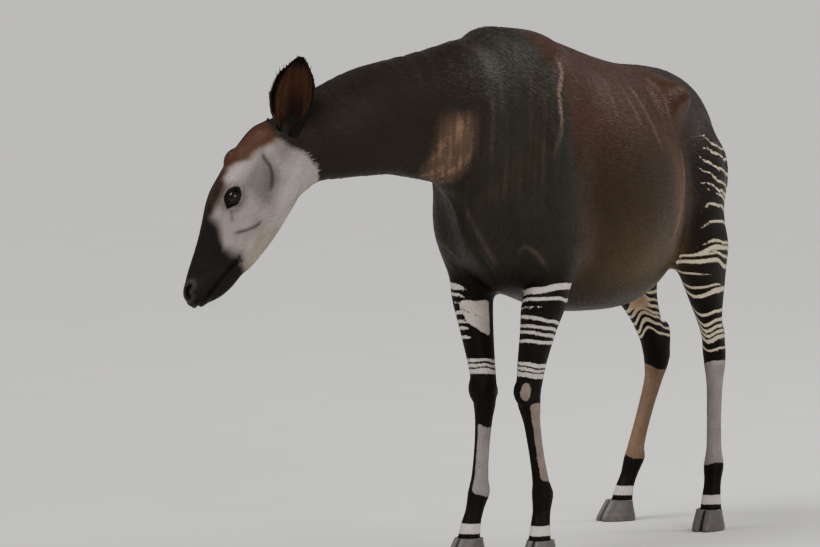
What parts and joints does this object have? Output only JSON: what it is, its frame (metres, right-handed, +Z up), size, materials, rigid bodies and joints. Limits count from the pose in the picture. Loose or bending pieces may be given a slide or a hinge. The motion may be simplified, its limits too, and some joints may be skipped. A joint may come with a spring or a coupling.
{
  "type": "okapi",
  "caption": "Life-size standing okapi, a hoofed forest mammal with a dark coat, striped legs and large ears, its neck stretched forward and its lowered head turned to its right",
  "frame": {"origin": "middle of the footprint of the whole animal's box, on the floor under the hooves", "axes": "+Z up, the body faces -Y, the animal's left side is towards +X; the head is turned towards -X"},
  "size_m": [0.7678, 2.227, 1.5495],
  "materials": {
    "coat": "short glossy fur, chocolate brown to black",
    "stripes": "short fur, cream and black stripes, pale cannons",
    "face": "short fur, pale grey cheeks and dark muzzle",
    "ear": "short dark fur outside, reddish hair inside",
    "horn": "grey hoof horn",
    "eye": "dark wet eye"
  },
  "bodies": {
    "root": {"torso": "coat", "neck": "coat", "head": "face", "tail": "coat", "foreleg_left": "stripes", "fore_hoof_left_outer_claw": "horn", "fore_hoof_left_inner_claw": "horn", "foreleg_right": "stripes", "fore_hoof_right_outer_claw": "horn", "fore_hoof_right_inner_claw": "horn", "hindleg_left": "stripes", "hind_hoof_left_outer_claw": "horn", "hind_hoof_left_inner_claw": "horn", "hindleg_right": "stripes", "hind_hoof_right_outer_claw": "horn", "hind_hoof_right_inner_claw": "horn", "ear_left": "ear", "eye_left": "eye", "ear_right": "ear", "eye_right": "eye"}
  },
  "joints": []
}
